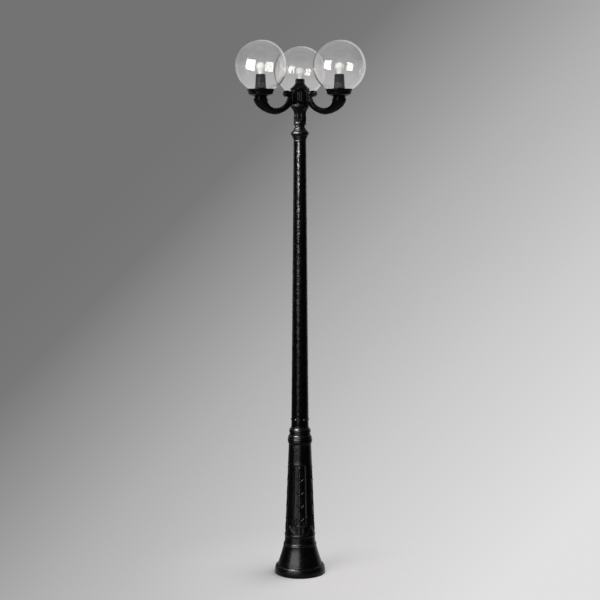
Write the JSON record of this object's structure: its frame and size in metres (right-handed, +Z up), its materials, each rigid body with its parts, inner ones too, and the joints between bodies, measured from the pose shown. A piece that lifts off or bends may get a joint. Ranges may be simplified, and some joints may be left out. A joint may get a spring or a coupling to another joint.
{
  "type": "outdoor post light",
  "caption": "Tall garden post light: moulded pedestal and tapering column round a steel pipe, scroll arms with cups, lamp holders, bulbs and clear twist-off globes.",
  "frame": {"origin": "on the post's axis at ground level, in the middle of the ground plate's bolt circle", "axes": "+Z up along the post; the front looks towards -Y, between the two front arms; the third arm points along +Y"},
  "size_m": [0.6208, 0.5713, 2.5907],
  "materials": {
    "black_resin": "satin black moulded resin, hammered on the column",
    "galvanised_steel": "hot-dip galvanised",
    "black_screw": "black coated",
    "clear_globe": "clear acrylic, polished",
    "holder_charcoal": "fine matt moulding",
    "socket_phenolic": "dull phenolic moulding",
    "opal_glass": "white opal",
    "bulb_cap_metal": "rolled sheet",
    "seal_rubber": "dull",
    "lead_sheath": "dull sheath",
    "terminal_white": "dull moulding"
  },
  "bodies": {
    "post": {"anchor_plate": "galvanised_steel", "pipe_socket": "galvanised_steel", "inner_pipe": "galvanised_steel", "pedestal": "black_resin", "pedestal_collar": "black_resin", "column": "black_resin", "column_screws": "black_screw", "column_knop": "black_resin", "neck": "black_resin", "hub": "black_resin", "hub_nut": "galvanised_steel", "terminal_block": "terminal_white", "hub_cap": "black_resin", "arm_bolts": "galvanised_steel", "arm_leads": "lead_sheath", "arm_front_left": "black_resin", "arm_front_right": "black_resin", "arm_rear": "black_resin", "cup_front_left": "black_resin", "cup_front_right": "black_resin", "cup_rear": "black_resin", "gasket_front_left": "seal_rubber", "gasket_front_right": "seal_rubber", "gasket_rear": "seal_rubber", "lamp_tower_front_left": "holder_charcoal", "lamp_tower_front_right": "holder_charcoal", "lamp_tower_rear": "holder_charcoal", "nipple_front_left": "galvanised_steel", "nipple_front_right": "galvanised_steel", "nipple_rear": "galvanised_steel", "lamp_socket_front_left": "socket_phenolic", "lamp_socket_front_right": "socket_phenolic", "lamp_socket_rear": "socket_phenolic"},
    "front_left_globe": {"globe_front_left": "clear_globe"},
    "front_left_bulb": {"bulb_glass_front_left": "opal_glass", "bulb_cap_front_left": "bulb_cap_metal"},
    "front_right_globe": {"globe_front_right": "clear_globe"},
    "front_right_bulb": {"bulb_glass_front_right": "opal_glass", "bulb_cap_front_right": "bulb_cap_metal"},
    "rear_globe": {"globe_rear": "clear_globe"},
    "rear_bulb": {"bulb_glass_rear": "opal_glass", "bulb_cap_rear": "bulb_cap_metal"}
  },
  "joints": [
    {"name": "front_left_globe_twist", "type": "hinge", "parent": "post", "child": "front_left_globe", "pos_m": [-0.1855, -0.1071, 2.4657], "axis": [0, 0, 1], "range_deg": [0, 40]},
    {"name": "front_left_bulb_turn", "type": "hinge", "parent": "post", "child": "front_left_bulb", "pos_m": [-0.1855, -0.1071, 2.4616], "axis": [0, 0, 1], "range_deg": [0, 360]},
    {"name": "front_right_globe_twist", "type": "hinge", "parent": "post", "child": "front_right_globe", "pos_m": [0.1855, -0.1071, 2.4657], "axis": [0, 0, 1], "range_deg": [0, 40]},
    {"name": "front_right_bulb_turn", "type": "hinge", "parent": "post", "child": "front_right_bulb", "pos_m": [0.1855, -0.1071, 2.4616], "axis": [0, 0, 1], "range_deg": [0, 360]},
    {"name": "rear_globe_twist", "type": "hinge", "parent": "post", "child": "rear_globe", "pos_m": [0, 0.2142, 2.4657], "axis": [0, 0, 1], "range_deg": [0, 40]},
    {"name": "rear_bulb_turn", "type": "hinge", "parent": "post", "child": "rear_bulb", "pos_m": [0, 0.2142, 2.4616], "axis": [0, 0, 1], "range_deg": [0, 360]}
  ]
}
